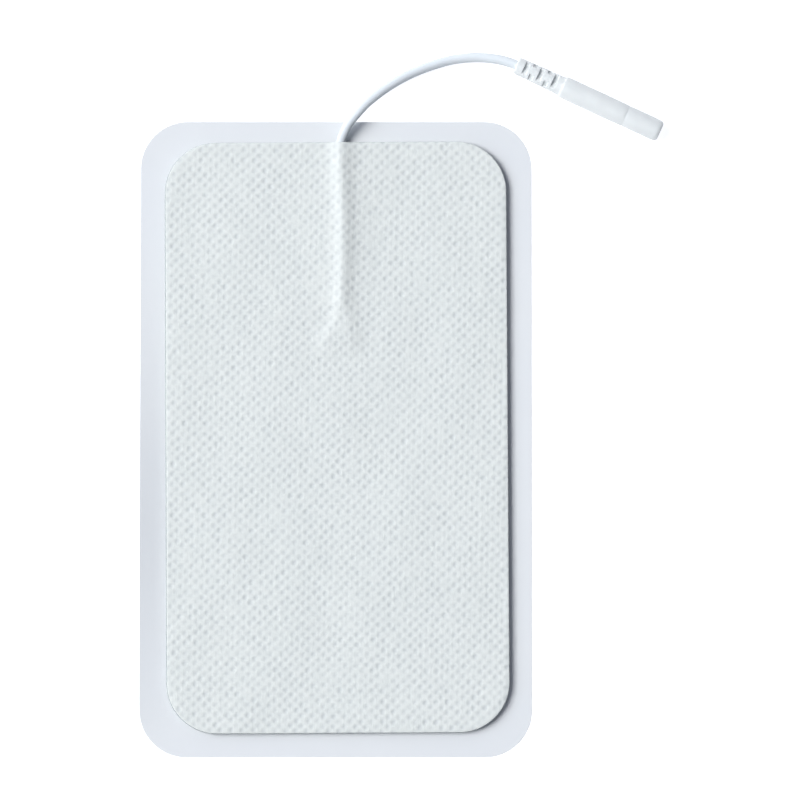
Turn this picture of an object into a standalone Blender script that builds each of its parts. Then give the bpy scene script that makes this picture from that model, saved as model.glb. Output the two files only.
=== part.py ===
"""Self-adhesive nerve-stimulation electrode pad with a pigtail lead.

The pad lies on its release liner: a layer of conductive gel, a carbon film
and an embossed nonwoven backing, cut to one rounded outline. The lead is
laminated in between the backing and the film, so the backing stands up in a
ridge over it, and it ends in a moulded female pin socket.

Frame: metres, +Z up, +Y along the pad towards the lead. The origin is under
the middle of the release liner, on its underside.
"""
import math

import bmesh
import bpy
from mathutils import Matrix, Vector

# ---------------------------------------------------------------- dimensions
MM = 0.001
GAP = 0.03 * MM              # clearance between laminated layers

LINER_W = 58.7 * MM
LINER_L = 95.3 * MM
LINER_R = 7.1 * MM
LINER_T = 0.10 * MM

PAD_W = 51.1 * MM
PAD_L = 88.4 * MM
PAD_R = 7.5 * MM
PAD_X = 0.18 * MM            # the pad isn't quite centred on its liner
PAD_Y = 0.23 * MM
PAD_TURN = math.radians(0.32)

GEL_T = 0.70 * MM
CARBON_T = 0.08 * MM
FABRIC_T = 0.29 * MM

GEL_Z = LINER_T + GAP
CARBON_Z = GEL_Z + GEL_T + GAP
CARBON_TOP = CARBON_Z + CARBON_T
FABRIC_Z = CARBON_TOP + GAP
FABRIC_TOP = FABRIC_Z + FABRIC_T

LEAD_D = 1.40 * MM
LEAD_R = LEAD_D / 2
LEAD_X = 0.78 * MM           # the lead's line in the pad, from the pad's middle
LEAD_Z = 1.06 * MM           # height of its centre inside the pad
LEAD_END_Y = 20.60 * MM      # where the jacket stops inside the pad

RIDGE_H = LEAD_Z + LEAD_R + GAP - FABRIC_Z   # rise of the backing over the lead
# the ridge from its foot to the pad's edge, in mm: its share of the full
# height, the half widths of its crest left and right of the lead's line, and
# how sharply its sides fall
RIDGE_SHARE = ((11.6, 0.0), (12.8, 0.21), (14.3, 0.48), (15.8, 0.60), (17.3, 0.63),
               (18.8, 0.68), (20.35, 1.0))
CREST_LEFT = ((14.3, 2.3), (15.8, 1.65), (17.3, 0.55), (18.8, 0.30), (20.6, 0.0))
CREST_RIGHT = ((14.3, 1.05), (15.8, 0.95), (17.3, 0.70), (18.8, 0.40), (20.6, 0.0))
RIDGE_FALL = ((12.4, 3.0), (20.6, 1.3), (30.0, 1.3), (44.0, 3.5))
RIDGE_PRESSED = 0.84         # the top rises less: the backing is pressed thinner
LEAD_BOW = 0.30 * MM         # the lead's line bows this far to the right

TRENCH_D = CARBON_TOP - (LEAD_Z - LEAD_R - GAP) + 0.01 * MM
TRENCH_W = 1.6 * MM
TRENCH_FOOT_Y = 18.6 * MM

STRAND_N = 5                 # bundles that the bared conductor is spread into
STRAND_END_Y = 15.3 * MM
STRAND_T = 0.10 * MM

# the socket connector: u runs along its axis from the strain relief's end
CONN_X = 27.09 * MM
CONN_Y = 56.03 * MM
CONN_TURN = math.radians(-25.0)
CONN_ROLL = math.radians(-5.0)
CONN_L = 23.78 * MM
BARREL_R = 1.65 * MM
CONN_Z = BARREL_R + 0.03 * MM
BOOT_R0 = 1.30 * MM
BOOT_R1 = 1.41 * MM
BOOT_L = 7.15 * MM
COLLAR_L = 1.30 * MM
GROOVE_U = 18.10 * MM
GROOVE_W = 0.30 * MM
GROOVE_DEPTH = 0.10 * MM
TIP_ROUND = 0.46 * MM
TIP_LEN = 0.80 * MM
SLOT_U0 = 1.55 * MM
SLOT_PITCH = 1.182 * MM
SLOT_N = 5
SLOT_W = 0.70 * MM
# the windows of the strain relief: turn from the crown in degrees, distance
# of the floor from the axis, width across
CROWN_WINDOWS = ((0.0, 0.80 * MM, 3.20 * MM),)
SIDE_WINDOWS = ((-52.0, 1.09 * MM, 1.16 * MM), (52.0, 1.09 * MM, 1.16 * MM))
LEAD_HOLE_R = LEAD_R + 0.04 * MM

CONTACT_U0 = 10.05 * MM
CONTACT_U1 = 23.09 * MM
CONTACT_WEB = 12.40 * MM     # the crimp cup's floor
CONTACT_R = 1.25 * MM
SOCKET_R = 1.00 * MM         # takes a 2 mm pin
SOCKET_U = 13.10 * MM        # the socket's blind end
CRIMP_R = 1.00 * MM
MOUTH_R = 1.09 * MM

TURN_SIDES = 28
CORNER_STEPS = 6

# the lead's free run, from above: x, y and height of the centre, in mm
FREE_RUN = (
    (1.28, 46.05, 1.50),
    (2.03, 47.38, 2.00),
    (3.28, 48.84, 2.28),
    (4.95, 50.57, 2.20),
    (7.78, 52.76, 1.76),
    (10.88, 54.60, 1.26),
    (14.19, 56.00, 0.90),
    (17.67, 56.98, 0.77),
    (21.27, 57.28, 0.98),
    (24.42, 56.91, 1.42),
)


# ------------------------------------------------------------------- helpers
def clear_scene():
    for obj in list(bpy.data.objects):
        bpy.data.objects.remove(obj, do_unlink=True)


def material(name, colour, roughness, metallic=0.0, transmission=0.0):
    mat = bpy.data.materials.new(name)
    mat.use_nodes = True
    shader = mat.node_tree.nodes["Principled BSDF"]
    shader.inputs["Base Color"].default_value = (*colour, 1.0)
    shader.inputs["Roughness"].default_value = roughness
    shader.inputs["Metallic"].default_value = metallic
    shader.inputs["Transmission Weight"].default_value = transmission
    mat.diffuse_color = (*colour, 1.0)
    return mat


def add_object(name, mesh, mat, smooth_angle=None):
    obj = bpy.data.objects.new(name, mesh)
    bpy.context.collection.objects.link(obj)
    if mat:
        mesh.materials.append(mat)
    if smooth_angle is not None:
        mesh.shade_smooth()
        mesh.set_sharp_from_angle(angle=math.radians(smooth_angle))
    return obj


def smoothstep(t):
    t = min(max(t, 0.0), 1.0)
    return t * t * (3.0 - 2.0 * t)


def along(table, y):
    """A value read off a table of (position in mm, value) pairs."""
    y /= MM
    for (y0, v0), (y1, v1) in zip(table, table[1:]):
        if y < y1:
            return v0 + (v1 - v0) * min(max((y - y0) / (y1 - y0), 0.0), 1.0)
    return table[-1][1]


def lead_line(y):
    """x of the lead's line at a place along the pad."""
    t = (y / MM - 30.5) / 10.5
    return LEAD_X + LEAD_BOW * max(1.0 - t * t, 0.0) ** 2


def bell(s):
    """A rounded crest with concave feet, 1 at s = 0 and 0 from |s| = 1."""
    s = min(abs(s), 1.0)
    return (1.0 - s * s) ** 2


def outline_span(x, width, length, radius):
    """The y range of a rounded rectangle on the line at x."""
    inset = abs(x) - (width / 2 - radius)
    if inset <= 0.0:
        return -length / 2, length / 2
    inset = min(inset, radius)
    y = length / 2 - radius + math.sqrt(max(radius * radius - inset * inset, 0.0))
    return -y, y


def outline_columns(width, radius, inner):
    """x lines across a rounded rectangle: round its corners, then the given
    ones in between."""
    xs = set()
    for k in range(CORNER_STEPS + 1):
        a = 0.5 * math.pi * k / CORNER_STEPS
        x = width / 2 - radius + radius * math.sin(a)
        xs.add(round(x, 9))
        xs.add(round(-x, 9))
    for x in inner:
        xs.add(round(x, 9))
    return sorted(xs)


def film_body(name, width, length, radius, columns, rows, low, high, mat):
    """A thin closed body over a rounded rectangle, between two height
    functions of x and y. All its faces are triangles, cut along the same
    diagonal in every layer, so stacked layers keep their clearance."""
    xs = outline_columns(width, radius, columns)
    bm = bmesh.new()
    top, bot = [], []
    for x in xs:
        y0, y1 = outline_span(x, width, length, radius)
        ys = [y0] + sorted(rows) + [y1]
        top.append([bm.verts.new((x, y, high(x, y))) for y in ys])
        bot.append([bm.verts.new((x, y, low(x, y))) for y in ys])
    n, m = len(xs), len(top[0])
    for i in range(n - 1):
        for j in range(m - 1):
            a, b, c, d = top[i][j], top[i + 1][j], top[i + 1][j + 1], top[i][j + 1]
            bm.faces.new((a, b, c))
            bm.faces.new((a, c, d))
            a, b, c, d = bot[i][j], bot[i + 1][j], bot[i + 1][j + 1], bot[i][j + 1]
            bm.faces.new((a, c, b))
            bm.faces.new((a, d, c))
    for i in range(n - 1):
        bm.faces.new((bot[i][0], bot[i + 1][0], top[i + 1][0]))
        bm.faces.new((bot[i][0], top[i + 1][0], top[i][0]))
        bm.faces.new((bot[i + 1][-1], bot[i][-1], top[i][-1]))
        bm.faces.new((bot[i + 1][-1], top[i][-1], top[i + 1][-1]))
    for j in range(m - 1):
        bm.faces.new((bot[0][j + 1], bot[0][j], top[0][j]))
        bm.faces.new((bot[0][j + 1], top[0][j], top[0][j + 1]))
        bm.faces.new((bot[-1][j], bot[-1][j + 1], top[-1][j + 1]))
        bm.faces.new((bot[-1][j], top[-1][j + 1], top[-1][j]))
    bmesh.ops.recalc_face_normals(bm, faces=bm.faces[:])
    mesh = bpy.data.meshes.new(name)
    bm.to_mesh(mesh)
    bm.free()
    return add_object(name, mesh, mat)


def turned_body(name, profile, mat, sides=TURN_SIDES):
    """Turns a closed profile of (u, r) pairs round the local X axis. A point
    with r = 0 is a pole on the axis."""
    bm = bmesh.new()
    rings = []
    for u, r in profile:
        if r <= 0.0:
            rings.append([bm.verts.new((u, 0.0, 0.0))])
        else:
            rings.append([bm.verts.new((u, r * math.cos(2 * math.pi * k / sides),
                                        r * math.sin(2 * math.pi * k / sides)))
                          for k in range(sides)])
    count = len(rings)
    for i in range(count):
        a, b = rings[i], rings[(i + 1) % count]
        if len(a) == 1 and len(b) == 1:
            continue
        for k in range(sides):
            q = (k + 1) % sides
            if len(a) == 1:
                bm.faces.new((a[0], b[k], b[q]))
            elif len(b) == 1:
                bm.faces.new((a[k], b[0], a[q]))
            else:
                bm.faces.new((a[k], b[k], b[q], a[q]))
    bmesh.ops.recalc_face_normals(bm, faces=bm.faces[:])
    mesh = bpy.data.meshes.new(name)
    bm.to_mesh(mesh)
    bm.free()
    return add_object(name, mesh, mat, smooth_angle=35)


def place_on_pad(obj):
    obj.parent = pad_frame
    return obj


# ---------------------------------------------------------- ridge and trench
def ridge_rise(x, y):
    """How far the backing is lifted by the lead and its fanned strands."""
    off = (x - lead_line(y)) / MM
    crest = along(CREST_LEFT if off < 0.0 else CREST_RIGHT, y)
    fall = along(RIDGE_FALL, y)
    down = max(abs(off) - crest, 0.0)
    side = (1.0 + (0.62 if off < 0.0 else 0.37) * down * down / fall) ** -fall
    lean = 1.0
    if off < 0.0 and crest > 0.0:
        lean = 1.0 - 0.25 * min(crest, 1.0) * min(-off / (crest + 0.8), 1.0)
    return RIDGE_H * along(RIDGE_SHARE, y) * side * lean * smoothstep((6.0 - abs(off)) / 2.5)


def trench_drop(x, y):
    """How far the lead presses the film down into the gel."""
    k = smoothstep((y - TRENCH_FOOT_Y) / (LEAD_END_Y - 0.4 * MM - TRENCH_FOOT_Y))
    return TRENCH_D * k * bell((x - lead_line(y)) / TRENCH_W)


def catmull_rom(points, per_span):
    pts = [Vector(p) for p in points]
    pts = [2 * pts[0] - pts[1]] + pts + [2 * pts[-1] - pts[-2]]
    out = []
    for i in range(1, len(pts) - 2):
        a, b, c, d = pts[i - 1:i + 3]
        for k in range(per_span):
            t = k / per_span
            out.append(0.5 * ((2 * b) + (c - a) * t + (2 * a - 5 * b + 4 * c - d) * t * t
                              + (3 * b - a - 3 * c + d) * t ** 3))
    out.append(pts[-2])
    return out


def resample(points, step):
    """Points at an even spacing near step along a polyline."""
    runs = [0.0]
    for a, b in zip(points, points[1:]):
        runs.append(runs[-1] + (b - a).length)
    count = max(2, round(runs[-1] / step))
    out, i = [], 0
    for k in range(count + 1):
        s = runs[-1] * k / count
        while i < len(runs) - 2 and runs[i + 1] < s:
            i += 1
        t = (s - runs[i]) / (runs[i + 1] - runs[i])
        out.append(points[i].lerp(points[i + 1], min(max(t, 0.0), 1.0)))
    return out


# --------------------------------------------------------------------- build
clear_scene()

liner_mat = material("siliconised film", (0.80, 0.84, 0.88), 0.25)
gel_mat = material("conductive hydrogel", (0.62, 0.72, 0.70), 0.12, transmission=0.4)
carbon_mat = material("carbon-loaded film", (0.015, 0.015, 0.016), 0.55)
fabric_mat = material("embossed nonwoven", (0.74, 0.77, 0.77), 0.9)
jacket_mat = material("lead jacket", (0.80, 0.84, 0.86), 0.4)
strand_mat = material("tinned copper strand", (0.75, 0.73, 0.70), 0.35, metallic=1.0)
housing_mat = material("moulded socket housing", (0.80, 0.83, 0.84), 0.35)
contact_mat = material("plated brass contact", (0.80, 0.76, 0.66), 0.25, metallic=1.0)

# where the pad lies on its liner
pad_frame = bpy.data.objects.new("pad_frame", None)
bpy.context.collection.objects.link(pad_frame)
pad_frame.location = (PAD_X, PAD_Y, 0.0)
pad_frame.rotation_euler = (0.0, 0.0, PAD_TURN)
pad_matrix = Matrix.Translation((PAD_X, PAD_Y, 0.0)) @ Matrix.Rotation(PAD_TURN, 4, "Z")

# release liner: one flat sheet with rounded corners
bm = bmesh.new()
ring = []
for quarter in range(4):
    cx = (LINER_W / 2 - LINER_R) * (1 if quarter in (0, 3) else -1)
    cy = (LINER_L / 2 - LINER_R) * (1 if quarter in (0, 1) else -1)
    for k in range(9):
        a = math.pi / 2 * (quarter + k / 8)
        ring.append(bm.verts.new((cx + LINER_R * math.cos(a), cy + LINER_R * math.sin(a), 0.0)))
face = bm.faces.new(ring)
lift = bmesh.ops.extrude_face_region(bm, geom=[face])
for item in lift["geom"]:
    if isinstance(item, bmesh.types.BMVert):
        item.co.z = LINER_T
bmesh.ops.recalc_face_normals(bm, faces=bm.faces[:])
liner_mesh = bpy.data.meshes.new("release_liner")
bm.to_mesh(liner_mesh)
bm.free()
add_object("release_liner", liner_mesh, liner_mat)

# gel and film: flat layers with the lead's trench pressed into both
trench_columns = [LEAD_X + s * d * MM for d in (0.0, 0.25, 0.5, 0.75, 1.1, 1.6) for s in (1, -1)]
trench_rows = [y * MM for y in (-36.0, 0.0, 18.6, 19.0, 19.4, 19.8, 20.2, 22.5, 25.0, 27.5,
                                30.0, 32.5, 35.0, 38.0, 41.0)]
place_on_pad(film_body("hydrogel_layer", PAD_W, PAD_L, PAD_R, trench_columns, trench_rows,
                       lambda x, y: GEL_Z,
                       lambda x, y: GEL_Z + GEL_T - trench_drop(x, y), gel_mat))
place_on_pad(film_body("carbon_film", PAD_W, PAD_L, PAD_R, trench_columns, trench_rows,
                       lambda x, y: CARBON_Z - trench_drop(x, y),
                       lambda x, y: CARBON_TOP - trench_drop(x, y), carbon_mat))

# nonwoven backing: flat, with the ridge over the lead
ridge_columns = [LEAD_X + s * d * MM for d in (0.0, 0.25, 0.5, 0.8, 1.2, 1.7, 2.4, 3.3, 4.5, 6.0)
                 for s in (1, -1)]
ridge_rows = [y * MM for y in (-36.0, -8.0, 11.6, 12.2, 12.8, 13.5, 14.3, 15.0, 15.8, 16.5,
                               17.3, 18.0, 18.8, 19.7, 20.6, 22.5, 25.0, 27.5, 30.0, 32.5,
                               35.0, 38.0, 41.0)]
place_on_pad(film_body("backing_fabric", PAD_W, PAD_L, PAD_R, ridge_columns, ridge_rows,
                       lambda x, y: FABRIC_Z + ridge_rise(x, y),
                       lambda x, y: FABRIC_TOP + RIDGE_PRESSED * ridge_rise(x, y), fabric_mat))

# bared conductor: a root in line with the lead, fanned into flat bundles
bm = bmesh.new()
root_y = LEAD_END_Y - 0.25 * MM
stations = []                # y, centre height, thickness
for k in range(7):
    t = k / 6
    y = root_y + (18.0 * MM - root_y) * t
    stations.append((y, LEAD_Z + (CARBON_TOP + GAP + STRAND_T / 2 + 0.02 * MM - LEAD_Z)
                     * smoothstep(t), 0.40 * MM + (STRAND_T - 0.40 * MM) * smoothstep(t)))
root_half = 0.28 * MM
left, right = [], []
for y, z, thick in stations:
    w = root_half + 0.30 * MM * (root_y - y) / (root_y - 18.0 * MM)
    left.append((bm.verts.new((LEAD_X - w, y, z + thick / 2)), bm.verts.new((LEAD_X - w, y, z - thick / 2))))
    right.append((bm.verts.new((LEAD_X + w, y, z + thick / 2)), bm.verts.new((LEAD_X + w, y, z - thick / 2))))
for (l0, r0), (l1, r1) in zip(list(zip(left, right)), list(zip(left, right))[1:]):
    bm.faces.new((l0[0], r0[0], r1[0], l1[0]))
    bm.faces.new((l0[1], l1[1], r1[1], r0[1]))
    bm.faces.new((l0[0], l1[0], l1[1], l0[1]))
    bm.faces.new((r0[0], r0[1], r1[1], r1[0]))
bm.faces.new((left[0][0], left[0][1], right[0][1], right[0][0]))
# the palm ends in a row of finger roots; each finger is tapered and splayed
end_y, end_z, end_t = stations[-1]
half = root_half + 0.30 * MM
cuts = STRAND_N * 2 - 1
tops, bots = [left[-1][0]], [left[-1][1]]
for k in range(1, cuts):
    x = LEAD_X - half + 2 * half * k / cuts
    tops.append(bm.verts.new((x, end_y, end_z + end_t / 2)))
    bots.append(bm.verts.new((x, end_y, end_z - end_t / 2)))
tops.append(right[-1][0])
bots.append(right[-1][1])
# the palm's last band meets that row vertex by vertex
for f in [f for f in bm.faces if left[-1][0] in f.verts and right[-1][0] in f.verts
          or left[-1][1] in f.verts and right[-1][1] in f.verts]:
    bm.faces.remove(f)
upper = (left[-2][0], right[-2][0], tops)
lower = (left[-2][1], right[-2][1], bots)
for a, b, row in (upper, lower):
    bm.faces.new([a, b] + row[::-1])
for k in range(cuts):
    if k % 2:
        bm.faces.new((tops[k], bots[k], bots[k + 1], tops[k + 1]))
        continue
    finger = k // 2
    splay = math.radians(-30.0 + 60.0 * finger / (STRAND_N - 1))
    reach = (end_y - STRAND_END_Y) * (1.0 - 0.10 * abs(math.sin(splay)) * 2)
    tip = Vector((LEAD_X + (-half + 2 * half * (k + 0.5) / cuts) + reach * math.tan(splay),
                  end_y - reach, 0.0))
    side = Vector((math.cos(splay), math.sin(splay), 0.0)) * 0.05 * MM
    t0 = bm.verts.new((tip.x - side.x, tip.y - side.y, end_z + end_t / 2))
    t1 = bm.verts.new((tip.x + side.x, tip.y + side.y, end_z + end_t / 2))
    b0 = bm.verts.new((tip.x - side.x, tip.y - side.y, end_z - end_t / 2))
    b1 = bm.verts.new((tip.x + side.x, tip.y + side.y, end_z - end_t / 2))
    bm.faces.new((tops[k], tops[k + 1], t1, t0))
    bm.faces.new((bots[k], b0, b1, bots[k + 1]))
    bm.faces.new((tops[k], t0, b0, bots[k]))
    bm.faces.new((tops[k + 1], bots[k + 1], b1, t1))
    bm.faces.new((t0, t1, b1, b0))
bmesh.ops.recalc_face_normals(bm, faces=bm.faces[:])
strand_mesh = bpy.data.meshes.new("lead_strands")
bm.to_mesh(strand_mesh)
bm.free()
place_on_pad(add_object("lead_strands", strand_mesh, strand_mat))

# the connector's own axis
conn_frame = bpy.data.objects.new("connector_frame", None)
bpy.context.collection.objects.link(conn_frame)
conn_frame.location = (CONN_X, CONN_Y, CONN_Z)
conn_frame.rotation_euler = (0.0, 0.0, CONN_TURN)
axis = Vector((math.cos(CONN_TURN), math.sin(CONN_TURN), 0.0))
conn_start = Vector((CONN_X, CONN_Y, CONN_Z))

# housing: strain relief, collar, barrel and mouth, moulded in one
barrel_u = BOOT_L + COLLAR_L
outer = [(0.0, BOOT_R0 - 0.10 * MM), (0.10 * MM, BOOT_R0),
         (BOOT_L, BOOT_R1), (BOOT_L + 1.20 * MM, BARREL_R + 0.01 * MM),
         (barrel_u, BARREL_R + 0.01 * MM), (barrel_u + 0.60 * MM, BARREL_R - 0.005 * MM),
         (13.05 * MM, BARREL_R - 0.01 * MM), (13.20 * MM, BARREL_R),
         (GROOVE_U - 1.0 * MM, BARREL_R - 0.02 * MM),
         (GROOVE_U - GROOVE_W / 2, BARREL_R - 0.05 * MM),
         (GROOVE_U - GROOVE_W / 4, BARREL_R - GROOVE_DEPTH),
         (GROOVE_U + GROOVE_W / 4, BARREL_R - GROOVE_DEPTH),
         (GROOVE_U + 0.80 * MM, BARREL_R - 0.02 * MM),
         (CONN_L - TIP_LEN, BARREL_R - 0.05 * MM)]
for k in range(1, 5):
    a = math.pi / 2 * k / 4
    outer.append((CONN_L - TIP_LEN + TIP_LEN * math.sin(a),
                  BARREL_R - 0.05 * MM - TIP_ROUND * (1.0 - math.cos(a))))
inner = [(CONN_L - 0.10 * MM, MOUTH_R), (CONTACT_U1 + GAP, MOUTH_R),
         (CONTACT_U1 + GAP, CONTACT_R + 0.04 * MM),
         (SOCKET_U - 0.20 * MM, CONTACT_R + 0.04 * MM),
         (SOCKET_U - 0.20 * MM, CRIMP_R + 0.04 * MM),
         (CONTACT_U0 - GAP, CRIMP_R + 0.04 * MM),
         (CONTACT_U0 - GAP, LEAD_HOLE_R),
         (0.0, LEAD_HOLE_R)]
housing = turned_body("connector_housing", outer + inner, housing_mat)
housing.parent = conn_frame
housing.rotation_euler = (CONN_ROLL, 0.0, 0.0)

# strain-relief windows, sunk from above and from below: one over the crown
# and by turns a shallower pair beside it
bm = bmesh.new()
for k in range(SLOT_N):
    u = SLOT_U0 + SLOT_PITCH * k
    for base in (0.0, math.pi):
        for turn, floor, width in (SIDE_WINDOWS if k % 2 else CROWN_WINDOWS):
            box = bmesh.ops.create_cube(bm, size=1.0)
            reach = 1.2 * MM
            bmesh.ops.scale(bm, vec=(SLOT_W, width, reach), verts=box["verts"])
            bmesh.ops.translate(bm, vec=(u, 0.0, floor + reach / 2), verts=box["verts"])
            bmesh.ops.rotate(bm, cent=(0, 0, 0), verts=box["verts"],
                             matrix=Matrix.Rotation(base + math.radians(turn), 3, "X"))
cutter_mesh = bpy.data.meshes.new("slot_cutter")
bm.to_mesh(cutter_mesh)
bm.free()
cutter = add_object("slot_cutter", cutter_mesh, None)
cutter.parent = conn_frame
cutter.rotation_euler = (CONN_ROLL, 0.0, 0.0)
cutter.hide_render = True
cutter.display_type = "WIRE"
cut = housing.modifiers.new("slots", "BOOLEAN")
cut.operation = "DIFFERENCE"
cut.solver = "EXACT"
cut.object = cutter

# contact: crimp cup at the back, 2 mm pin socket in front, a web between
contact_profile = [
    (CONTACT_U0, LEAD_HOLE_R), (CONTACT_U0, CRIMP_R), (SOCKET_U - 0.12 * MM, CRIMP_R),
    (SOCKET_U + 0.05 * MM, CONTACT_R), (CONTACT_U1, CONTACT_R),
    (CONTACT_U1, SOCKET_R + 0.12 * MM), (CONTACT_U1 - 0.15 * MM, SOCKET_R),
    (SOCKET_U + 0.40 * MM, SOCKET_R), (SOCKET_U, 0.0), (CONTACT_WEB, 0.0),
    (CONTACT_WEB, LEAD_HOLE_R)]
contact = turned_body("socket_contact", contact_profile, contact_mat)
contact.parent = conn_frame

# lead: straight in the pad, one smooth free run, straight in the connector
inside_end = pad_matrix @ Vector((LEAD_X, LEAD_END_Y, LEAD_Z))
exit_point = pad_matrix @ Vector((LEAD_X, PAD_L / 2, LEAD_Z))
run_in = (exit_point - inside_end).normalized()
route = [exit_point - run_in * 2.0 * MM, exit_point + run_in * 0.15 * MM]
route += [Vector(p) * MM for p in FREE_RUN]
route += [conn_start - axis * 0.30 * MM, conn_start + axis * 2.5 * MM]
smooth = catmull_rom(route, 24)
# keep what lies between the exit and the connector
free = [p for p in smooth if (p - exit_point).dot(run_in) >= 0.0 and (p - conn_start).dot(axis) <= -0.30 * MM]
free = resample(free, 2.0 * LEAD_D)
crimp_end = conn_start + axis * (CONTACT_WEB - 0.06 * MM)
inside = resample([inside_end, exit_point], 1.7 * LEAD_D)[:-1]
points = [p + Vector((lead_line(p.y) - LEAD_X, 0.0, 0.0)) for p in inside] + free
points += [conn_start + axis * 0.6 * MM] + resample([conn_start + axis * 3.4 * MM, crimp_end], 2.0 * LEAD_D)
curve = bpy.data.curves.new("lead_wire", "CURVE")
curve.dimensions = "3D"
curve.bevel_depth = LEAD_R
curve.bevel_resolution = 2
curve.render_resolution_u = 0
curve.use_fill_caps = True
spline = curve.splines.new("POLY")
spline.points.add(len(points) - 1)
for slot, p in zip(spline.points, points):
    slot.co = (p.x, p.y, p.z, 1.0)
curve.materials.append(jacket_mat)
lead = bpy.data.objects.new("lead_wire", curve)
bpy.context.collection.objects.link(lead)
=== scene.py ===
"""Looks of the electrode pad: camera, light and floor, the lead, the moulded
socket connector, and the pad's layers with their finishes.

Lengths in this file are millimetres until a mesh is made. "Pad" coordinates
are those of the pad itself, which lies slightly off centre and slightly
turned on its release liner.
"""
import math

import bpy
import numpy as np
from mathutils import Matrix, Vector
from mathutils.geometry import delaunay_2d_cdt


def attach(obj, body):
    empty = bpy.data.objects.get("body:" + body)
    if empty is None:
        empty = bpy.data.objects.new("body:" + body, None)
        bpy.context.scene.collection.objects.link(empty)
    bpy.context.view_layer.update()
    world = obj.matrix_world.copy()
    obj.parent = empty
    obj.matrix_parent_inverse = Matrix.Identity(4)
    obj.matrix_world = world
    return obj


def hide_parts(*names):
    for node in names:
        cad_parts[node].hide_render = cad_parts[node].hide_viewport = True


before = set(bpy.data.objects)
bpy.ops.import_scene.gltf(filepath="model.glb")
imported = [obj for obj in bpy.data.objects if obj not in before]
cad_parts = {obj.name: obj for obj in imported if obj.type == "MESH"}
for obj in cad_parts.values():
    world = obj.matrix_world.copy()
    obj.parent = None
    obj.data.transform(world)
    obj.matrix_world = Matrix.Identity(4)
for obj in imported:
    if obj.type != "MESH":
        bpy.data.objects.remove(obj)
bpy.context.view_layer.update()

MM = 0.001
rng = np.random.default_rng(20718)

# ------------------------------------------------- sizes, as in the CAD model
LINER_W, LINER_L, LINER_R, LINER_T = 58.7, 95.3, 7.1, 0.10
PAD_W, PAD_L, PAD_R = 51.1, 88.4, 7.5
PAD_X, PAD_Y, PAD_TURN = 0.18, 0.23, math.radians(0.32)
GEL_Z, GEL_TOP = 0.13, 0.83
CARBON_Z, CARBON_TOP = 0.86, 0.94
FABRIC_Z, FABRIC_TOP = 0.97, 1.26
LEAD_R, LEAD_X, LEAD_Z, LEAD_END_Y = 0.70, 0.78, 1.06, 20.60
RIDGE_H = LEAD_Z + LEAD_R + 0.03 - FABRIC_Z
RIDGE_SHARE = ((11.6, 12.8, 14.3, 15.8, 17.3, 18.8, 20.35),
               (0.0, 0.21, 0.48, 0.60, 0.63, 0.68, 1.0))
CREST_LEFT = ((14.3, 15.8, 17.3, 18.8, 20.6), (2.3, 1.65, 0.55, 0.30, 0.0))
CREST_RIGHT = ((14.3, 15.8, 17.3, 18.8, 20.6), (1.05, 0.95, 0.70, 0.40, 0.0))
RIDGE_FALL = ((12.4, 20.6, 30.0, 44.0), (3.0, 1.3, 1.3, 3.5))
RIDGE_PRESSED = 0.84
LEAD_BOW = 0.30
TRENCH_D = CARBON_TOP - (LEAD_Z - LEAD_R - 0.03) + 0.01
TRENCH_W, TRENCH_FOOT_Y = 1.6, 18.6
CONN_X, CONN_Y, CONN_Z = 27.09, 56.03, 1.68
CONN_TURN, CONN_ROLL, CONN_L = math.radians(-25.0), math.radians(-5.0), 23.78
SLOT_U0, SLOT_PITCH, SLOT_N, SLOT_W = 1.55, 1.182, 5, 0.70
CROWN_WINDOWS = ((0.0, 0.83, 3.20),)         # turn, floor, width
SIDE_WINDOWS = ((-52.0, 1.09, 1.16), (52.0, 1.09, 1.16))
LEAD_HOLE_R = LEAD_R + 0.04
CONTACT_WEB = 12.40

pad_matrix = (Matrix.Translation((PAD_X * MM, PAD_Y * MM, 0.0))
              @ Matrix.Rotation(PAD_TURN, 4, "Z"))

# ------------------------------------------------------------------ the camera
VIEW_X, VIEW_Y, VIEW_W = 9.60, 5.79, 120.0     # middle and width of the picture
VIEW_D, VIEW_TILT = 600.0, math.radians(2.6)

camera_data = bpy.data.cameras.new("camera")
camera_data.sensor_width = 36.0
camera_data.lens = 36.0 * VIEW_D / VIEW_W
camera_data.clip_start = 0.01
camera_data.clip_end = 30.0
camera = bpy.data.objects.new("camera", camera_data)
camera.location = (VIEW_X * MM, (VIEW_Y - VIEW_D * math.sin(VIEW_TILT)) * MM,
                   VIEW_D * math.cos(VIEW_TILT) * MM)
camera.rotation_euler = (VIEW_TILT, 0.0, 0.0)
bpy.context.scene.collection.objects.link(camera)
bpy.context.scene.camera = camera


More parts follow.
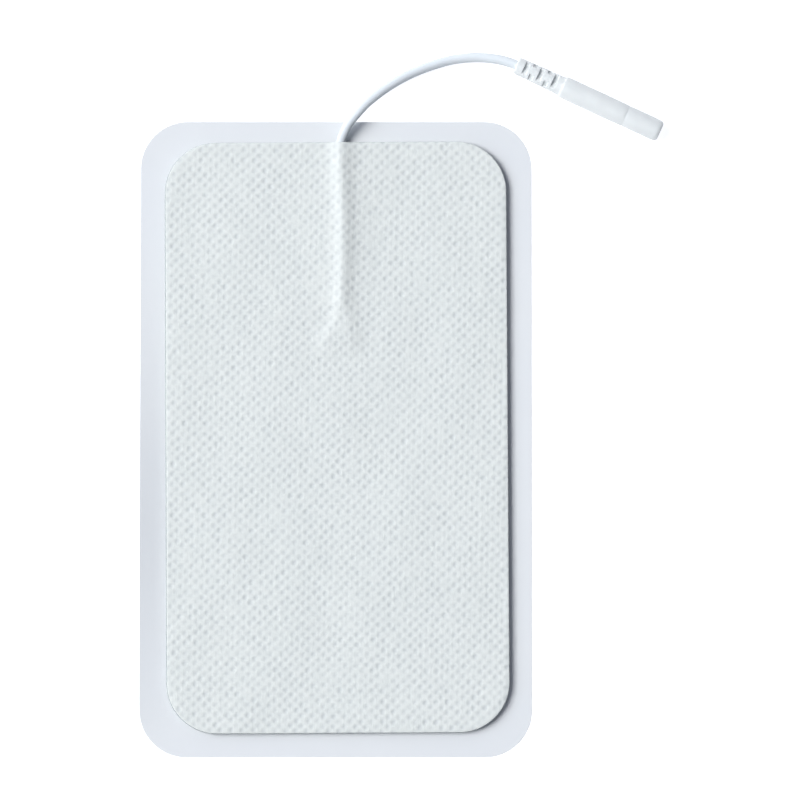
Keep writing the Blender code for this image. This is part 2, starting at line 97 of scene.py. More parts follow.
# --------------------------------------------------------------- node helpers
class Nodes:
    """A material's node tree, with short calls to fill it."""

    def __init__(self, name):
        self.material = bpy.data.materials.new(name)
        self.material.use_nodes = True
        self.tree = self.material.node_tree
        self.shader = self.tree.nodes["Principled BSDF"]
        self.coords = self.add("ShaderNodeTexCoord").outputs["Object"]

    def add(self, kind, **settings):
        node = self.tree.nodes.new(kind)
        for key, value in settings.items():
            setattr(node, key, value)
        return node

    def join(self, source, target):
        self.tree.links.new(source, target)

    def stretched(self, scale, turn=0.0):
        """Object coordinates, turned about Z and scaled."""
        node = self.add("ShaderNodeMapping")
        node.inputs["Rotation"].default_value = (0.0, 0.0, turn)
        node.inputs["Scale"].default_value = scale
        self.join(self.coords, node.inputs["Vector"])
        return node.outputs["Vector"]

    def noise(self, scale, detail=2.0, roughness=0.5, vector=None):
        node = self.add("ShaderNodeTexNoise")
        node.inputs["Scale"].default_value = scale
        node.inputs["Detail"].default_value = detail
        node.inputs["Roughness"].default_value = roughness
        self.join(vector or self.coords, node.inputs["Vector"])
        return node.outputs["Fac"]

    def math(self, operation, a, b=None, c=None):
        node = self.add("ShaderNodeMath", operation=operation)
        for k, value in enumerate((a, b, c)):
            if value is None:
                continue
            if isinstance(value, (int, float)):
                node.inputs[k].default_value = value
            else:
                self.join(value, node.inputs[k])
        return node.outputs[0]

    def remap(self, value, low, high, to_low, to_high):
        node = self.add("ShaderNodeMapRange")
        self.join(value, node.inputs["Value"])
        for key, number in (("From Min", low), ("From Max", high),
                            ("To Min", to_low), ("To Max", to_high)):
            node.inputs[key].default_value = number
        return node.outputs["Result"]

    def mix(self, factor, a, b):
        node = self.add("ShaderNodeMix", data_type="RGBA")
        if isinstance(factor, float):
            node.inputs["Factor"].default_value = factor
        else:
            self.join(factor, node.inputs["Factor"])
        for key, value in (("A", a), ("B", b)):
            socket = [s for s in node.inputs if s.name == key and s.type == "RGBA"][0]
            if isinstance(value, tuple):
                socket.default_value = (*value, 1.0)
            else:
                self.join(value, socket)
        return [s for s in node.outputs if s.type == "RGBA"][0]

    def bump(self, height, distance, strength=1.0, normal=None):
        node = self.add("ShaderNodeBump")
        node.inputs["Strength"].default_value = strength
        node.inputs["Distance"].default_value = distance
        self.join(height, node.inputs["Height"])
        if normal is not None:
            self.join(normal, node.inputs["Normal"])
        return node.outputs["Normal"]

    def finish(self, color=None, roughness=None, normal=None, **constants):
        for key, value in constants.items():
            self.shader.inputs[key.replace("_", " ")].default_value = value
        for key, value in (("Base Color", color), ("Roughness", roughness), ("Normal", normal)):
            if value is None:
                continue
            if isinstance(value, (float, tuple)):
                self.shader.inputs[key].default_value = (
                    value if isinstance(value, float) else (*value, 1.0))
            else:
                self.join(value, self.shader.inputs[key])
        return self.material


def put_material(obj, mat):
    obj.data.materials.clear()
    obj.data.materials.append(mat)


# ------------------------------------------------------------------- materials
def jacket_finish():
    n = Nodes("lead jacket")
    tone = n.remap(n.noise(420.0, 2.0), 0.3, 0.7, 0.0, 1.0)
    color = n.mix(tone, (0.618, 0.664, 0.690), (0.642, 0.686, 0.710))
    rough = n.remap(n.noise(1500.0, 2.0), 0.3, 0.7, 0.44, 0.56)
    normal = n.bump(n.noise(3500.0, 3.0), 0.02 * MM, 0.25)
    return n.finish(color, rough, normal, IOR=1.45, Specular_IOR_Level=0.15)


def housing_finish():
    n = Nodes("socket housing")
    tone = n.remap(n.noise(260.0, 2.0), 0.3, 0.7, 0.0, 1.0)
    color = n.mix(tone, (0.660, 0.690, 0.686), (0.686, 0.713, 0.706))
    rough = n.remap(n.noise(1200.0, 2.0), 0.3, 0.7, 0.42, 0.54)
    normal = n.bump(n.noise(5200.0, 3.0), 0.02 * MM, 0.3)
    return n.finish(color, rough, normal, IOR=1.50, Subsurface_Weight=0.45,
                    Subsurface_Scale=0.8 * MM, Subsurface_Radius=(1.0, 0.95, 0.95))


def contact_finish():
    n = Nodes("plated contact")
    tone = n.remap(n.noise(900.0, 3.0), 0.3, 0.7, 0.0, 1.0)
    color = n.mix(tone, (0.76, 0.74, 0.69), (0.84, 0.82, 0.77))
    rough = n.remap(n.noise(2600.0, 2.0), 0.3, 0.7, 0.18, 0.32)
    normal = n.bump(n.noise(6000.0, 2.0), 0.01 * MM, 0.3)
    return n.finish(color, rough, normal, Metallic=1.0)


def strand_finish():
    n = Nodes("tinned strands")
    lay = n.noise(9000.0, 1.0, 0.5, n.stretched((1.0, 0.12, 1.0)))
    color = n.mix(n.remap(lay, 0.35, 0.65, 0.0, 1.0), (0.55, 0.53, 0.50), (0.80, 0.78, 0.75))
    return n.finish(color, 0.35, n.bump(lay, 0.05 * MM, 0.8), Metallic=1.0)


def liner_finish():
    n = Nodes("siliconised film")
    cloud = n.remap(n.noise(38.0, 2.0, 0.5), 0.32, 0.68, 0.0, 1.0)
    fine = n.remap(n.noise(900.0, 3.0), 0.3, 0.7, 0.0, 1.0)
    color = n.mix(n.math("MULTIPLY", cloud, 0.6), (0.644, 0.668, 0.683), (0.670, 0.690, 0.692))
    color = n.mix(n.math("MULTIPLY", fine, 0.15), color, (0.622, 0.651, 0.673))
    rough = n.remap(n.noise(260.0, 3.0), 0.3, 0.7, 0.30, 0.40)
    normal = n.bump(n.noise(2200.0, 3.0), 0.01 * MM, 0.15)
    return n.finish(color, rough, normal, IOR=1.46)


def gel_finish():
    n = Nodes("hydrogel")
    tone = n.remap(n.noise(300.0, 3.0), 0.3, 0.7, 0.0, 1.0)
    color = n.mix(tone, (0.40, 0.46, 0.46), (0.48, 0.54, 0.53))
    rough = n.remap(n.noise(900.0, 2.0), 0.3, 0.7, 0.10, 0.22)
    normal = n.bump(n.noise(1800.0, 3.0), 0.04 * MM, 0.5)
    return n.finish(color, rough, normal, IOR=1.36, Transmission_Weight=0.35)


def carbon_finish():
    n = Nodes("carbon film")
    tone = n.remap(n.noise(1500.0, 4.0), 0.3, 0.7, 0.0, 1.0)
    color = n.mix(tone, (0.012, 0.012, 0.014), (0.030, 0.030, 0.034))
    rough = n.remap(n.noise(2500.0, 3.0), 0.3, 0.7, 0.45, 0.62)
    normal = n.bump(n.noise(5000.0, 3.0), 0.02 * MM, 0.4)
    return n.finish(color, rough, normal)


def fabric_finish():
    """Spunbonded fibres lie in every direction: several fields of noise, each
    stretched along its own direction, stand for them. The bonds, where the
    fibres are melted flat, are a little glassier. Their darker colour is partly
    the black film showing through and partly painted shade of the bond dimples."""
    n = Nodes("embossed nonwoven")
    fibres = None
    for k, (turn, pitch) in enumerate(((8, 6200.0), (52, 5200.0), (97, 6800.0), (141, 5600.0))):
        layer = n.noise(1.0, 2.0, 0.55,
                        n.stretched((pitch, pitch * 0.11, pitch), math.radians(turn)))
        fibres = layer if fibres is None else n.math("MAXIMUM", fibres, layer)
    fibres = n.remap(fibres, 0.50, 0.78, 0.0, 1.0)
    clump = n.remap(n.noise(620.0, 3.0, 0.6), 0.3, 0.7, 0.0, 1.0)
    wide = n.remap(n.noise(70.0, 2.0), 0.35, 0.65, 0.0, 1.0)
    bond = n.add("ShaderNodeAttribute", attribute_name="bond").outputs["Fac"]
    color = n.mix(clump, (0.589, 0.624, 0.604), (0.636, 0.666, 0.641))
    color = n.mix(n.math("MULTIPLY", wide, 0.35), color, (0.644, 0.673, 0.651))
    color = n.mix(n.math("MULTIPLY", fibres, 0.35), color, (0.689, 0.714, 0.685))
    # the bonds' darker colour: partly the film showing through, partly painted shade in place of
    # the dimples' relief
    color = n.mix(bond, color, (0.516, 0.549, 0.543))
    rough = n.remap(bond, 0.0, 1.0, 0.92, 0.62)
    soft = n.math("SUBTRACT", 1.0, n.math("MULTIPLY", bond, 0.8))
    height = n.math("ADD", n.math("MULTIPLY", fibres, 0.55), n.math("MULTIPLY", clump, 0.45))
    normal = n.bump(n.math("MULTIPLY", height, soft), 0.05 * MM, 0.55)
    return n.finish(color, rough, normal, Sheen_Weight=0.08, Sheen_Roughness=0.6)


# --------------------------------------------------------------- mesh helpers
def smooth(t):
    t = np.clip(t, 0.0, 1.0)
    return t * t * (3.0 - 2.0 * t)


def bell(s):
    s = np.minimum(np.abs(s), 1.0)
    return (1.0 - s * s) ** 2


def lead_line(y):
    """x of the lead's line at a place along the pad: it bows a little."""
    t = (y - 30.5) / 10.5
    return LEAD_X + LEAD_BOW * np.maximum(1.0 - t * t, 0.0) ** 2


def rounded_ring(width, length, radius, offset=0.0, step=0.25):
    """Points round a rounded rectangle, anticlockwise. The count doesn't
    depend on the offset, so rings at several offsets match."""
    out = []
    arc_n = max(6, round(0.5 * math.pi * radius / step))
    side_n = {0: max(2, round((width - 2 * radius) / step)),
              1: max(2, round((length - 2 * radius) / step))}
    hx, hy, r = width / 2 - radius, length / 2 - radius, radius + offset
    corners = ((hx, hy, 0.0), (-hx, hy, 90.0), (-hx, -hy, 180.0), (hx, -hy, 270.0))
    for c, (cx, cy, start) in enumerate(corners):
        for k in range(arc_n + 1):
            a = math.radians(start + 90.0 * k / arc_n)
            out.append((cx + r * math.cos(a), cy + r * math.sin(a)))
        a = math.radians(start + 90.0)
        nx, ny, _ = corners[(c + 1) % 4]
        p0 = np.array((cx + r * math.cos(a), cy + r * math.sin(a)))
        p1 = np.array((nx + r * math.cos(a), ny + r * math.sin(a)))
        count = side_n[c % 2]
        for k in range(1, count):
            out.append(tuple(p0 + (p1 - p0) * k / count))
    return np.array(out)


def inset(points, width, length, radius):
    """How far inside a rounded rectangle each point lies."""
    q = np.abs(points) - (np.array((width, length)) / 2 - radius)
    outside = np.linalg.norm(np.maximum(q, 0.0), axis=1)
    return radius - outside - np.minimum(np.maximum(q[:, 0], q[:, 1]), 0.0)


def cap_triangles(ring, inner):
    """Triangles over a ring and the points inside it."""
    points = np.vstack((ring, inner)) if len(inner) else ring
    skew = points + np.stack((points[:, 1] * 0.013, points[:, 0] * 0.0), axis=1)
    verts, _, faces, origin, _, _ = delaunay_2d_cdt(
        [Vector(p) for p in skew], [], [list(range(len(ring)))], 1, 1e-7)
    back = [o[0] if o else None for o in origin]
    if None in back:
        raise RuntimeError("the cap's triangulation added a point")
    return points, np.array([[back[i] for i in f] for f in faces])


def mesh_object(name, verts_mm, faces, matrix=None, smooth_angle=45.0):
    mesh = bpy.data.meshes.new(name)
    verts = np.asarray(verts_mm, float) * MM
    mesh.from_pydata(verts.tolist(), [], [list(map(int, f)) for f in faces])
    mesh.validate()
    if matrix is not None:
        mesh.transform(matrix)
    mesh.update()
    mesh.shade_smooth()
    mesh.set_sharp_from_angle(angle=math.radians(smooth_angle))
    obj = bpy.data.objects.new(name, mesh)
    bpy.context.scene.collection.objects.link(obj)
    return obj


def plate(name, shape, top_inner, top_z, bottom_inner, bottom_z, edge, step, matrix,
          smooth_angle=45.0):
    """A thin closed sheet. edge lists (offset, share) from the top's rim to
    the bottom's: how far out the rim is there, and how far down it has come."""
    width, length, radius = shape
    rings = [rounded_ring(width, length, radius, offset, step) for offset, _ in edge]
    count = len(rings[0])
    points, faces = cap_triangles(rings[0], top_inner)
    verts = [np.column_stack((points, top_z(points)))]
    tris = [faces]
    start_of = [0]
    total = len(points)
    high = top_z(rings[0])
    low = bottom_z(rings[-1])
    for ring, (_, share) in zip(rings[1:-1], edge[1:-1]):
        verts.append(np.column_stack((ring, high + (low - high) * share)))
        start_of.append(total)
        total += count
    points, faces = cap_triangles(rings[-1], bottom_inner)
    verts.append(np.column_stack((points, bottom_z(points))))
    start_of.append(total)
    tris.append(faces[:, ::-1] + total)
    walls = []
    here = np.arange(count)
    there = (here + 1) % count
    for a, b in zip(start_of, start_of[1:]):
        walls.append(np.column_stack((a + here, b + here, b + there, a + there)))
    faces = [list(f) for block in tris for f in block] + [list(f) for block in walls for f in block]
    return mesh_object(name, np.vstack(verts), faces, matrix, smooth_angle)


def grid_inside(shape, margin, dx, dy):
    width, length, radius = shape
    xs = np.arange(-width / 2, width / 2 + dx, dx)
    ys = np.arange(-length / 2, length / 2 + dy, dy)
    pts = np.array([(x, y) for x in xs for y in ys])
    return pts[inset(pts, width, length, radius) > margin]


def revolve(profile, sides, radius_at=None):
    """Rings of a closed profile round the local X axis. Angle 0 points along
    +Z and a quarter turn along +Y. radius_at(k, angles) may reshape a ring."""
    angles = np.arange(sides) * 2 * math.pi / sides
    rings, verts, faces = [], [], []
    for k, (u, r) in enumerate(profile):
        if r <= 0.0:
            rings.append([len(verts)])
            verts.append((u, 0.0, 0.0))
            continue
        radii = np.full(sides, r) if radius_at is None else radius_at(k, angles)
        rings.append(list(range(len(verts), len(verts) + sides)))
        verts += [(u, q * math.sin(a), q * math.cos(a)) for q, a in zip(radii, angles)]
    for a, b in zip(rings, rings[1:] + rings[:1]):
        if len(a) == 1 and len(b) == 1:
            continue
        for k in range(sides):
            q = (k + 1) % sides
            if len(a) == 1:
                faces.append((a[0], b[q], b[k]))
            elif len(b) == 1:
                faces.append((a[q], b[0], a[k]))
            else:
                faces.append((a[q], b[q], b[k], a[k]))
    return verts, faces


def catmull_rom(points, per_span):
    pts = [Vector(p) for p in points]
    pts = [2 * pts[0] - pts[1]] + pts + [2 * pts[-1] - pts[-2]]
    out = []
    for i in range(1, len(pts) - 2):
        a, b, c, d = pts[i - 1:i + 3]
        for k in range(per_span):
            t = k / per_span
            out.append(0.5 * ((2 * b) + (c - a) * t + (2 * a - 5 * b + 4 * c - d) * t * t
                              + (3 * b - a - 3 * c + d) * t ** 3))
    out.append(pts[-2])
    return out


def resample(points, step):
    runs = [0.0]
    for a, b in zip(points, points[1:]):
        runs.append(runs[-1] + (b - a).length)
    count = max(2, round(runs[-1] / step))
    out, i = [], 0
    for k in range(count + 1):
        s = runs[-1] * k / count
        while i < len(runs) - 2 and runs[i + 1] < s:
            i += 1
        t = (s - runs[i]) / (runs[i + 1] - runs[i])
        out.append(points[i].lerp(points[i + 1], min(max(t, 0.0), 1.0)))
    return out


# -------------------------------------------------------------------- the lead
def pad_point(x, y, z):
    return (pad_matrix @ Vector((x * MM, y * MM, z * MM))) / MM


FREE_RUN = (
    (1.28, 46.05, 1.50),
    (2.03, 47.38, 2.00),
    (3.28, 48.84, 2.28),
    (4.95, 50.57, 2.20),
    (7.78, 52.76, 1.76),
    (10.88, 54.60, 1.26),
    (14.19, 56.00, 0.90),
    (17.67, 56.98, 0.77),
    (21.27, 57.28, 0.98),
    (24.42, 56.91, 1.42),
)
conn_axis = Vector((math.cos(CONN_TURN), math.sin(CONN_TURN), 0.0))
conn_start = Vector((CONN_X, CONN_Y, CONN_Z))
lead_inner_end = pad_point(LEAD_X, LEAD_END_Y, LEAD_Z)
lead_exit = pad_point(LEAD_X, PAD_L / 2, LEAD_Z)
run_in = (lead_exit - lead_inner_end).normalized()

route = [lead_exit - run_in * 2.0, lead_exit + run_in * 0.15]
route += [Vector(p) for p in FREE_RUN]
route += [conn_start - conn_axis * 0.30, conn_start + conn_axis * 2.5]
free = [p for p in catmull_rom(route, 24)
        if (p - lead_exit).dot(run_in) >= 0.0 and (p - conn_start).dot(conn_axis) <= -0.30]
lead_points = [p + Vector((float(lead_line(p.y)) - LEAD_X, 0.0, 0.0))
               for p in resample([lead_inner_end, lead_exit], 1.2)[:-1]]
lead_points += resample(free, 0.45)
lead_points += resample([conn_start + conn_axis * 0.6,
                         conn_start + conn_axis * (CONTACT_WEB - 0.06)], 2.0)
lead_length = sum((b - a).length for a, b in zip(lead_points, lead_points[1:]))

curve = bpy.data.curves.new("lead", "CURVE")
curve.dimensions = "3D"
curve.bevel_depth = LEAD_R * MM
curve.bevel_resolution = 10
curve.use_fill_caps = True
spline = curve.splines.new("POLY")
spline.points.add(len(lead_points) - 1)
for knot, p in zip(spline.points, lead_points):
    knot.co = (p.x * MM, p.y * MM, p.z * MM, 1.0)
lead = bpy.data.objects.new("lead", curve)
bpy.context.scene.collection.objects.link(lead)
put_material(lead, jacket_finish())
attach(lead, "root")
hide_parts("lead_wire")

# --------------------------------------------------------------- the connector
conn_matrix = (Matrix.Translation((CONN_X * MM, CONN_Y * MM, CONN_Z * MM))
               @ Matrix.Rotation(CONN_TURN, 4, "Z") @ Matrix.Rotation(CONN_ROLL, 4, "X"))


def arc(u, r, radius, start, end, count):
    """Points of a small round between two directions, in degrees."""
    return [(u + radius * math.cos(math.radians(start + (end - start) * k / count)),
             r + radius * math.sin(math.radians(start + (end - start) * k / count)))
            for k in range(count + 1)]


# each slot's rings: (distance from its middle, share of the full depth)
wall = SLOT_W / 2
slot_section = [(wall + 0.090, 0.0), (wall + 0.055, 0.0), (wall + 0.032, 0.015),
                (wall + 0.012, 0.06), (wall, 0.15), (wall - 0.008, 0.32),
                (wall - 0.016, 0.86), (wall - 0.036, 0.95), (wall - 0.080, 1.0)]
slot_section = [(-d, s) for d, s in slot_section] + [(d, s) for d, s in slot_section[::-1]]

BOOT_END = 7.50


def boot_radius(u):
    return 1.30 + (1.41 - 1.30) * u / BOOT_END


outer = arc(0.16, 1.30 - 0.16, 0.16, 180, 90, 5)      # (u, r)
ring_slot = [None] * len(outer)                      # (slot number, depth share)
outer.append((0.50, boot_radius(0.50)))
ring_slot.append(None)
for k in range(SLOT_N):
    for d, share in slot_section:
        u = SLOT_U0 + SLOT_PITCH * k + d
        outer.append((u, boot_radius(u)))
        ring_slot.append((k, share))
body = [(6.90, boot_radius(6.90)), (7.05, 1.413), (7.25, 1.428), (7.43, 1.455), (7.55, 1.482),
        (7.62, 1.503), (7.665, 1.543), (7.71, 1.583), (7.77, 1.603), (7.88, 1.616),
        (8.10, 1.631), (8.40, 1.644), (8.80, 1.652), (9.60, 1.650),
        (10.5, 1.645),
        (12.70, 1.640), (12.92, 1.643), (13.02, 1.652), (13.12, 1.655), (13.30, 1.655),
        (13.42, 1.650), (15.0, 1.645), (16.6, 1.630), (17.4, 1.615), (17.80, 1.604),
        (17.90, 1.600), (17.96, 1.588), (18.01, 1.564), (18.06, 1.550), (18.12, 1.549),
        (18.17, 1.560), (18.24, 1.577), (18.40, 1.591), (18.80, 1.606), (19.40, 1.616),
        (20.8, 1.618), (21.8, 1.610), (22.7, 1.603)]
outer += body
ring_slot += [None] * len(body)
tip = [(CONN_L - 0.80 + 0.80 * math.sin(t), 1.60 - 0.47 * (1.0 - math.cos(t)))
       for t in (math.pi / 2 * k / 10 for k in range(11))]
outer += tip
ring_slot += [None] * len(tip)
bore = [(CONN_L - 0.012, 1.102), (CONN_L - 0.04, 1.09),
        (23.40, 1.09), (23.125, 1.09), (23.12, 1.095), (23.12, 1.285), (23.115, 1.29),
         (18.0, 1.29), (12.905, 1.29), (12.90, 1.285), (12.90, 1.045), (12.895, 1.04),
         (10.025, 1.04), (10.02, 1.035), (10.02, 0.745), (10.015, 0.74), (8.9, 0.74), (8.6, 0.715),
         (0.50, 0.715), (0.10, 0.74), (0.03, 0.76), (0.0, 0.80)]
profile = outer + bore
ring_slot += [None] * len(bore)


def housing_radius(k, angles):
    radius = np.full(len(angles), profile[k][1])
    if ring_slot[k] is None:
        return radius
    number, share = ring_slot[k]
    for base in (0.0, math.pi):
        for turn, floor, width in (SIDE_WINDOWS if number % 2 else CROWN_WINDOWS):
            off = (angles - base - math.radians(turn) + math.pi) % (2 * math.pi) - math.pi
            chord = floor / np.maximum(np.cos(off), 0.05)
            depth = np.maximum(profile[k][1] - np.maximum(chord, LEAD_R + 0.03), 0.0)
            half = math.asin(min(width / 2 / profile[k][1], 1.0))
            radius = radius - np.where(np.abs(off) < half, depth, 0.0) * share
    return radius


verts, faces = revolve(profile, 180, housing_radius)
housing = mesh_object("socket_housing", verts, faces, conn_matrix, smooth_angle=40.0)
put_material(housing, housing_finish())
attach(housing, "root")
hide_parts("connector_housing")

sleeve = [(10.05, 0.75), (10.05, 0.985), (10.065, 1.0), (12.97, 1.0), (13.00, 1.01),
          (13.13, 1.235), (13.17, 1.25), (18.0, 1.25), (23.05, 1.25), (23.09, 1.22),
          (23.09, 1.13), (23.06, 1.08), (23.00, 1.02), (22.94, 1.0), (18.0, 1.0),
          (13.52, 1.0), (13.47, 0.97), (13.10, 0.0), (12.40, 0.0), (12.40, 0.735),
          (12.395, 0.74), (10.06, 0.74)]
verts, faces = revolve(sleeve, 64)
contact = mesh_object("socket_sleeve", verts, faces, conn_matrix, smooth_angle=35.0)
put_material(contact, contact_finish())
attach(contact, "root")
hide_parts("socket_contact")

# ---------------------------------------------------- shapes under the backing
PAD_SHAPE = (PAD_W, PAD_L, PAD_R)


def ridge_rise(p):
    """How far the backing stands up over the lead and its spread strands."""
    y = p[:, 1]
    off = p[:, 0] - lead_line(y)
    crest = np.where(off < 0.0, np.interp(y, *CREST_LEFT), np.interp(y, *CREST_RIGHT))
    fall = np.interp(y, *RIDGE_FALL)
    down = np.maximum(np.abs(off) - crest, 0.0)
    side = (1.0 + np.where(off < 0.0, 0.62, 0.37) * down * down / fall) ** -fall
    lean = np.where(off < 0.0, 1.0 - 0.25 * np.minimum(crest, 1.0)
                    * np.minimum(-off / (crest + 0.8), 1.0), 1.0)
    return RIDGE_H * np.interp(y, *RIDGE_SHARE) * side * lean * smooth((6.0 - np.abs(off)) / 2.5)


def trench_drop(p):
    """How far the lead presses the film into the gel."""
    x, y = p[:, 0], p[:, 1]
    k = smooth((y - TRENCH_FOOT_Y) / (LEAD_END_Y - 0.4 - TRENCH_FOOT_Y))
    return TRENCH_D * k * bell((x - lead_line(y)) / TRENCH_W)


def layer_points(fine_half, fine_low, dx, dy):
    """A coarse grid over the pad, with a finer one along the lead's line."""
    coarse = grid_inside(PAD_SHAPE, 1.2, 2.4, 2.4)
    keep = ~((np.abs(coarse[:, 0] - LEAD_X) < fine_half + 0.6) & (coarse[:, 1] > fine_low - 0.6))
    xs = LEAD_X + np.arange(-fine_half, fine_half + dx / 2, dx)
    ys = np.arange(fine_low, PAD_L / 2 - 0.3, dy)
    fine = np.array([(x, y) for x in xs for y in ys])
    return np.vstack((coarse[keep], fine))


# --------------------------------------------------------------- release liner
def liner_lift(p):
    """The bare margin of the film lifts very slightly off the table in places."""
    depth = inset(p, LINER_W, LINER_L, LINER_R)
    margin = np.clip((3.7 - depth) / 3.7, 0.0, 1.0)
    x, y = p[:, 0], p[:, 1]
    wave = (0.5 + 0.5 * np.sin(y / 17.0 + 0.8 + 0.3 * np.sin(x / 9.0))
            * np.cos(x / 23.0 - 0.4))
    left = np.exp(-((y + 12.0) / 27.0) ** 2) * np.clip((-x - 16.0) / 8.0, 0.0, 1.0)
    return 0.07 * wave * margin ** 2 + 0.70 * left * margin ** 0.88


liner_shape = (LINER_W, LINER_L, LINER_R)
liner_grid = grid_inside(liner_shape, 0.5, 1.1, 1.1)
liner = plate("liner_sheet", liner_shape,
              liner_grid, lambda p: LINER_T + liner_lift(p),
              liner_grid, liner_lift,
              [(-0.02, 0.0), (0.0, 0.2), (0.0, 0.8), (-0.02, 1.0)], 0.8, None)
put_material(liner, liner_finish())
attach(liner, "root")
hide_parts("release_liner")

# ------------------------------------------------------------ gel, carbon film
gel_points = layer_points(2.2, 17.6, 0.2, 0.8)
gel_matrix = Matrix.Translation((-0.06 * MM, 0.0, 0.0)) @ pad_matrix
gel = plate("gel_sheet", PAD_SHAPE,
            gel_points, lambda p: GEL_TOP - trench_drop(p),
            grid_inside(PAD_SHAPE, 1.2, 3.0, 3.0), lambda p: np.full(len(p), GEL_Z),
            [(-0.03, 0.0), (0.02, 0.08), (0.07, 0.25), (0.10, 0.5), (0.09, 0.75),
             (0.05, 0.92), (-0.01, 1.0)], 0.5, gel_matrix)
put_material(gel, gel_finish())
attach(gel, "root")
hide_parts("hydrogel_layer")

film = plate("film_sheet", PAD_SHAPE,
             gel_points, lambda p: CARBON_TOP - trench_drop(p),
             gel_points, lambda p: CARBON_Z - trench_drop(p),
             [(-0.01, 0.0), (0.0, 0.15), (0.0, 0.85), (-0.01, 1.0)], 0.5, pad_matrix)
put_material(film, carbon_finish())
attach(film, "root")
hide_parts("carbon_film")

# -------------------------------------------------------------- fabric backing
# the emboss: bonds at every whole and every half step of two lattice vectors
ROW_STEP = np.array((1.6047, -0.0204))       # table coordinates
LINE_STEP = np.array((0.0302, 1.5233))
BOND_ORIGIN = np.array(((5.12 + 1.2 - 336.03) * 0.15, (438.6 + 0.07) * 0.15))
BOND_DEPTH = 0.067
NX, NY = 8, 6                                # grid lines to a lattice step

cos_t, sin_t = math.cos(PAD_TURN), math.sin(PAD_TURN)


def table_to_pad(p):
    q = p - np.array((PAD_X, PAD_Y))
    return np.column_stack((q[:, 0] * cos_t + q[:, 1] * sin_t, -q[:, 0] * sin_t + q[:, 1] * cos_t))


def pad_to_table(p):
    return np.column_stack((p[:, 0] * cos_t - p[:, 1] * sin_t + PAD_X,
                            p[:, 0] * sin_t + p[:, 1] * cos_t + PAD_Y))


basis = np.column_stack((ROW_STEP, LINE_STEP))
to_lattice = np.linalg.inv(basis)


def lattice(p):
    return (pad_to_table(p) - BOND_ORIGIN) @ to_lattice.T


SPAN = 160                                   # table of per-bond chance values
bond_gain = 1.0 + 0.24 * rng.standard_normal((SPAN, SPAN))
bond_gain = np.clip(bond_gain, 0.35, 1.6)
bond_shift = 0.045 * rng.standard_normal((SPAN, SPAN, 2))
bond_tilt = 0.78 + 0.3 * rng.standard_normal((SPAN, SPAN))


def bond_profile(p):
    """1 in the middle of a bond, 0 between bonds."""
    ab = lattice(p)
    best = np.zeros(len(p))
    for half in (0.0, 0.5):
        near = np.round(ab - half) + half
        index = (np.round(near * 2).astype(int)) % SPAN
        i, j = index[:, 0], index[:, 1]
        d = (ab - near) @ basis.T - bond_shift[i, j]
        tilt = bond_tilt[i, j]
        c, s = np.cos(tilt), np.sin(tilt)
        along = d[:, 0] * s + d[:, 1] * c
        across = d[:, 0] * c - d[:, 1] * s
        q = (along / 0.40) ** 2 + (across / 0.31) ** 2
        best = np.maximum(best, bond_gain[i, j] * np.exp(-q ** 1.2))
    return best


waves = [(rng.uniform(0.25, 1.1), rng.uniform(0, 2 * math.pi), rng.uniform(0, 2 * math.pi))
         for _ in range(14)]


def pucker(p):
    """A very slight unevenness of the glued-down cloth."""
    out = np.zeros(len(p))
    for k, turn, phase in waves:
        out += np.sin(k * (p[:, 0] * math.cos(turn) + p[:, 1] * math.sin(turn)) + phase) / k
    return 0.0045 * out


def fabric_top(p):
    edge = np.clip(inset(p, *PAD_SHAPE), 0.0, 1.0)
    flat = 0.02 * smooth(edge / 0.5)
    return (FABRIC_TOP + RIDGE_PRESSED * ridge_rise(p) + flat + pucker(p) * smooth(edge)
            - BOND_DEPTH * bond_profile(p))


def fabric_bottom(p):
    return FABRIC_Z + ridge_rise(p)


half_a = int(PAD_W / 1.6 * NX / 2 + NX * 3)
half_b = int(PAD_L / 1.52 * NY / 2 + NY * 3)
middle = np.round(lattice(np.zeros((1, 2)))[0])
aa, bb = np.meshgrid(np.arange(-half_a, half_a + 1) / NX + middle[0],
                     np.arange(-half_b, half_b + 1) / NY + middle[1], indexing="ij")
grid_table = BOND_ORIGIN + np.column_stack((aa.ravel(), bb.ravel())) @ basis.T
grid_pad = table_to_pad(grid_table)
fine = grid_pad[inset(grid_pad, *PAD_SHAPE) > 0.20]

fabric = plate("fabric_backing", PAD_SHAPE,
               fine, fabric_top,
               layer_points(6.2, 11.6, 0.3, 0.8), fabric_bottom,
               [(-0.06, 0.0), (-0.025, 0.06), (-0.005, 0.18), (0.0, 0.40), (0.0, 1.0)],
               0.25, pad_matrix, smooth_angle=60.0)
co = np.zeros(len(fabric.data.vertices) * 3)
fabric.data.vertices.foreach_get("co", co)
co = co.reshape(-1, 3) / MM
# the bond profile per point; in the finish it also darkens the bonds, partly as painted dimple
# shade
values = bond_profile(table_to_pad(co[:, :2]))
layer = fabric.data.attributes.new("bond", "FLOAT", "POINT")
layer.data.foreach_set("value", np.clip(values, 0.0, 1.2).astype(np.float32))
put_material(fabric, fabric_finish())
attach(fabric, "root")
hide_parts("backing_fabric")

# the bared conductor keeps its CAD shape
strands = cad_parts["lead_strands"]
put_material(strands, strand_finish())

# ------------------------------------------------------------- floor and light
floor_mesh = bpy.data.meshes.new("floor")
R = 8.0
floor_mesh.from_pydata([(-R, -R, -0.00002), (R, -R, -0.00002), (R, R, -0.00002), (-R, R, -0.00002)],
                       [], [(0, 1, 2, 3)])
floor = bpy.data.objects.new("floor", floor_mesh)
bpy.context.scene.collection.objects.link(floor)
n = Nodes("white table")
n.finish((0.32, 0.32, 0.32), 0.9, None, Specular_IOR_Level=0.1,
         Emission_Color=(0.94, 0.955, 1.0, 1.0), Emission_Strength=0.93)
put_material(floor, n.material)


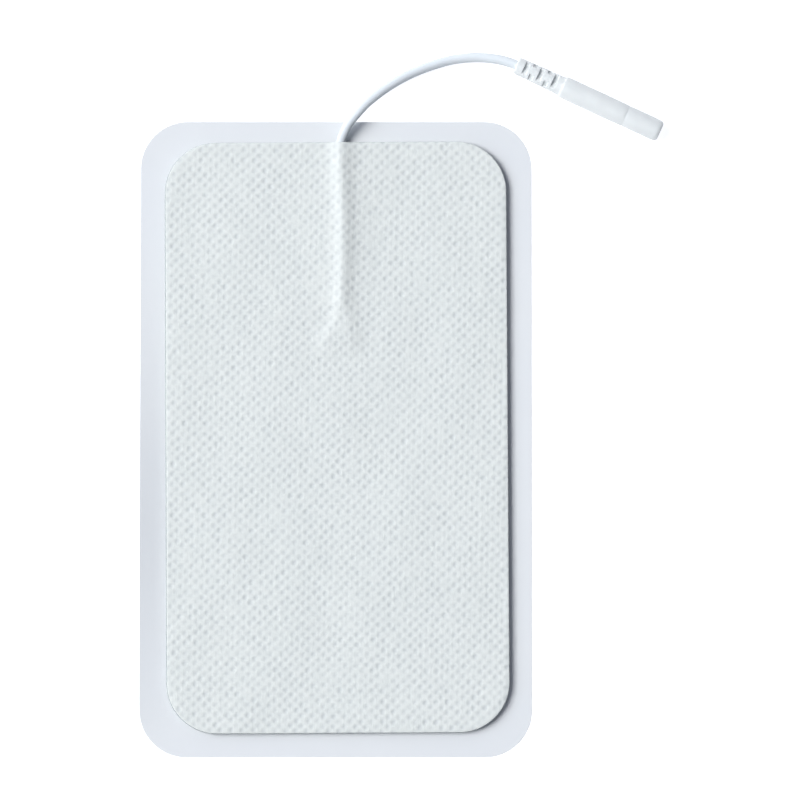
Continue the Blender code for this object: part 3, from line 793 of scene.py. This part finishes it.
def softbox(name, azimuth, elevation, distance, size, watts, color=(1.0, 1.0, 1.0)):
    data = bpy.data.lights.new(name, "AREA")
    data.shape = "RECTANGLE"
    data.size, data.size_y = size
    data.energy = watts
    data.color = color
    obj = bpy.data.objects.new(name, data)
    a, e = math.radians(azimuth), math.radians(elevation)
    way = Vector((math.cos(a) * math.cos(e), math.sin(a) * math.cos(e), math.sin(e)))
    obj.location = way * distance
    obj.rotation_euler = (-way).to_track_quat("-Z", "Y").to_euler()
    bpy.context.scene.collection.objects.link(obj)
    return obj


softbox("key", 169.0, 52.5, 3.0, (1.9, 1.5), 104.0)
softbox("fill", 161.0, 33.0, 3.0, (2.4, 1.1), 26.0, (0.88, 0.92, 1.0))
softbox("side", 62.0, 26.0, 3.0, (2.2, 0.9), 8.5, (0.94, 0.96, 1.0))
softbox("low", 246.0, 26.0, 3.0, (2.2, 0.9), 4.5, (0.96, 0.98, 1.0))

# the room: dim and bluish overhead, dimmer on the side away from the light,
# with a pale wall low down all round
world = bpy.data.worlds.new("studio")
bpy.context.scene.world = world
world.use_nodes = True
tree = world.node_tree
background = tree.nodes["Background"]
seen = tree.nodes.new("ShaderNodeTexCoord").outputs["Generated"]
way = tree.nodes.new("ShaderNodeSeparateXYZ")
tree.links.new(seen, way.inputs["Vector"])
across = tree.nodes.new("ShaderNodeVectorMath")
across.operation = "DOT_PRODUCT"
across.inputs[1].default_value = (-0.88, 0.47, 0.0)
tree.links.new(seen, across.inputs[0])


def ramp(source, low, high, to_low, to_high):
    node = tree.nodes.new("ShaderNodeMapRange")
    tree.links.new(source, node.inputs["Value"])
    for key, number in (("From Min", low), ("From Max", high),
                        ("To Min", to_low), ("To Max", to_high)):
        node.inputs[key].default_value = number
    return node.outputs["Result"]


overhead = ramp(across.outputs["Value"], -0.8, 0.9, 0.12, 0.40)
wall_share = ramp(way.outputs["Z"], 0.07, 0.20, 1.0, 0.0)
strength = tree.nodes.new("ShaderNodeMix")
tree.links.new(wall_share, strength.inputs["Factor"])
tree.links.new(overhead, strength.inputs["A"])
strength.inputs["B"].default_value = 0.95
tree.links.new(strength.outputs["Result"], background.inputs["Strength"])
color = tree.nodes.new("ShaderNodeMix")
color.data_type = "RGBA"
tree.links.new(wall_share, color.inputs["Factor"])
sockets = [k for k in color.inputs if k.type == "RGBA"]
sockets[0].default_value = (0.74, 0.79, 1.0, 1.0)
sockets[1].default_value = (0.96, 0.98, 1.0, 1.0)
tree.links.new([k for k in color.outputs if k.type == "RGBA"][0], background.inputs["Color"])

bpy.context.scene.view_settings.view_transform = "Standard"
